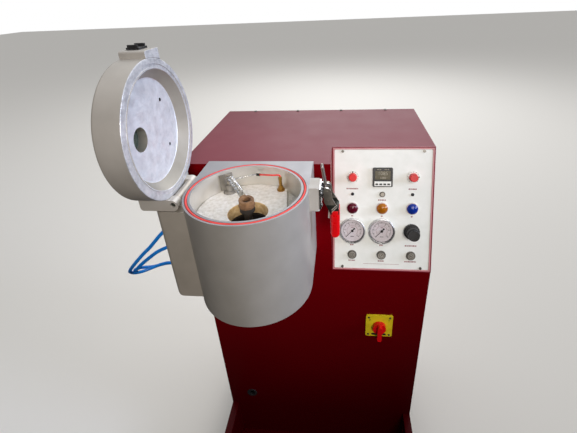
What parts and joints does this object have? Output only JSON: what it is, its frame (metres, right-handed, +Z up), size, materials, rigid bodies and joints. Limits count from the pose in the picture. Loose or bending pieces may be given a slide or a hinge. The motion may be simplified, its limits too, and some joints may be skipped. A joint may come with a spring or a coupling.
{
  "type": "metal granulation machine",
  "caption": "Free-standing induction granulation machine: open melting chamber with swing lid, stopper rod, toggle latch, sloping control console and a tank bay below.",
  "frame": {"origin": "on the floor, at the centre of the four anchor holes in the base", "axes": "+Z up, +X to the right of an operator who faces the console, +Y from the operator to the back of the cabinet"},
  "size_m": [0.7543, 0.75, 1.397],
  "materials": {
    "maroon_enamel": "gloss",
    "satin_aluminium": "satin",
    "warm_grey_casting": "satin",
    "white_plate": "satin",
    "black_plastic": "matt",
    "dark_glass": "gloss",
    "red_lens": "gloss",
    "amber_lens": "gloss",
    "blue_lens": "gloss",
    "bright_steel": "polished",
    "chrome_ring": "polished",
    "dial_white": "matt",
    "clear_glass": "gloss",
    "red_plastic": "gloss",
    "yellow_plastic": "gloss",
    "red_rubber": "matt",
    "black_rubber": "matt",
    "fibre_board": "matt",
    "refractory": "matt",
    "graphite": "matt",
    "copper": "satin",
    "dark_steel": "satin",
    "brass": "satin",
    "blue_tube": "gloss",
    "grey_enamel": "satin"
  },
  "bodies": {
    "machine": {"base_frame": "maroon_enamel", "cabinet_shell": "maroon_enamel", "rear_cover": "maroon_enamel", "fasteners": "bright_steel", "rear_connections": "brass", "grommets": "black_rubber", "console_frame": "maroon_enamel", "console_panel": "white_plate", "temp_controller": "black_plastic", "controller_window": "dark_glass", "lamp_red": "red_lens", "lamp_amber": "amber_lens", "lamp_blue": "blue_lens", "control_bezels": "bright_steel", "indicator_leds": "black_plastic", "gauge_cases": "chrome_ring", "gauge_dials": "dial_white", "gauge_lenses": "clear_glass", "regulator_bonnet": "black_plastic", "switch_plate": "yellow_plastic", "chamber_body": "satin_aluminium", "chamber_gasket": "red_rubber", "insulation_board": "fibre_board", "crucible": "graphite", "crucible_sleeve": "refractory", "induction_coil": "copper", "outlet_flange": "dark_steel", "lift_guide": "dark_steel", "brass_gland": "brass", "thermocouple_lead": "red_rubber", "hinge_post": "warm_grey_casting", "clamp_pad": "satin_aluminium", "latch_base": "dark_steel", "hose_fittings": "brass", "hose_upper": "blue_tube", "hose_lower": "blue_tube", "induction_generator": "grey_enamel"},
    "lid": {"lid_shell": "warm_grey_casting", "lid_arms": "warm_grey_casting", "lid_lug": "warm_grey_casting", "catch_plate": "dark_steel", "sight_ring": "dark_steel", "sight_glass": "clear_glass", "hinge_pin": "dark_steel"},
    "latch_lever": {"latch_lever": "dark_steel", "latch_grip": "red_plastic"},
    "latch_hook": {"latch_hook": "bright_steel"},
    "stopper": {"lift_arm": "bright_steel", "rod_holder": "graphite", "stopper_rod": "graphite"},
    "knob_left": {"knob_left": "red_plastic"},
    "knob_right": {"knob_right": "red_plastic"},
    "regulator_knob": {"regulator_knob": "black_plastic"},
    "push_button_left": {"push_button_left": "bright_steel"},
    "push_button_middle": {"push_button_middle": "bright_steel"},
    "push_button_right": {"push_button_right": "bright_steel"},
    "small_button": {"small_button": "bright_steel"},
    "switch_knob": {"switch_knob": "red_plastic"},
    "needle_left": {"needle_left": "black_plastic"},
    "needle_right": {"needle_right": "black_plastic"}
  },
  "joints": [
    {"name": "lid_hinge", "type": "hinge", "parent": "machine", "child": "lid", "pos_m": [-0.239, -0.182, 1.119], "axis": [0, 1, 0], "range_deg": [0, 90]},
    {"name": "latch_lever_pivot", "type": "hinge", "parent": "machine", "child": "latch_lever", "pos_m": [0.047, -0.152, 1.115], "axis": [0, -1, 0], "range_deg": [0, 100]},
    {"name": "latch_hook_pivot", "type": "hinge", "parent": "latch_lever", "child": "latch_hook", "pos_m": [0.0475, -0.152, 1.095], "axis": [0, -1, 0], "range_deg": [-115, 0]},
    {"name": "stopper_lift", "type": "slide", "parent": "machine", "child": "stopper", "axis": [0, 0, 1], "range_m": [0, 0.01]},
    {"name": "knob_left_turn", "type": "hinge", "parent": "machine", "child": "knob_left", "pos_m": [0.1015, 0.02367, 1.04968], "axis": [0, 0.95, -0.3123], "range_deg": [-150, 150]},
    {"name": "knob_right_turn", "type": "hinge", "parent": "machine", "child": "knob_right", "pos_m": [0.2485, 0.02367, 1.04968], "axis": [0, 0.95, -0.3123], "range_deg": [-150, 150]},
    {"name": "regulator_turn", "type": "hinge", "parent": "machine", "child": "regulator_knob", "pos_m": [0.2485, -0.02687, 0.92158], "axis": [0, 0.95, -0.3123], "range_deg": [-540, 540]},
    {"name": "push_button_left_press", "type": "slide", "parent": "machine", "child": "push_button_left", "axis": [0, 0.95, -0.3123], "range_m": [0, 0.003], "stiffness_N_per_m": 300, "springref_m": -0.002},
    {"name": "push_button_middle_press", "type": "slide", "parent": "machine", "child": "push_button_middle", "axis": [0, 0.95, -0.3123], "range_m": [0, 0.003], "stiffness_N_per_m": 300, "springref_m": -0.002},
    {"name": "push_button_right_press", "type": "slide", "parent": "machine", "child": "push_button_right", "axis": [0, 0.95, -0.3123], "range_m": [0, 0.003], "stiffness_N_per_m": 300, "springref_m": -0.002},
    {"name": "small_button_press", "type": "slide", "parent": "machine", "child": "small_button", "axis": [0, 0.95, -0.3123], "range_m": [0, 0.002], "stiffness_N_per_m": 300, "springref_m": -0.002},
    {"name": "switch_turn", "type": "hinge", "parent": "machine", "child": "switch_knob", "pos_m": [0.18, -0.054, 0.617], "axis": [0, 1, 0], "range_deg": [0, 90]},
    {"name": "needle_left_turn", "type": "hinge", "parent": "machine", "child": "needle_left", "pos_m": [0.1015, -0.02212, 0.92002], "axis": [0, 0.95, -0.3123], "range_deg": [0, 270], "stiffness_Nm_per_rad": 0.0001, "springref_deg": -28.65},
    {"name": "needle_right_turn", "type": "hinge", "parent": "machine", "child": "needle_right", "pos_m": [0.175, -0.02212, 0.92002], "axis": [0, 0.95, -0.3123], "range_deg": [0, 270], "stiffness_Nm_per_rad": 0.0001, "springref_deg": -28.65}
  ],
  "couplings": [
    {"joint": "latch_hook_pivot", "follows": "latch_lever_pivot", "ratio": -1.15}
  ]
}
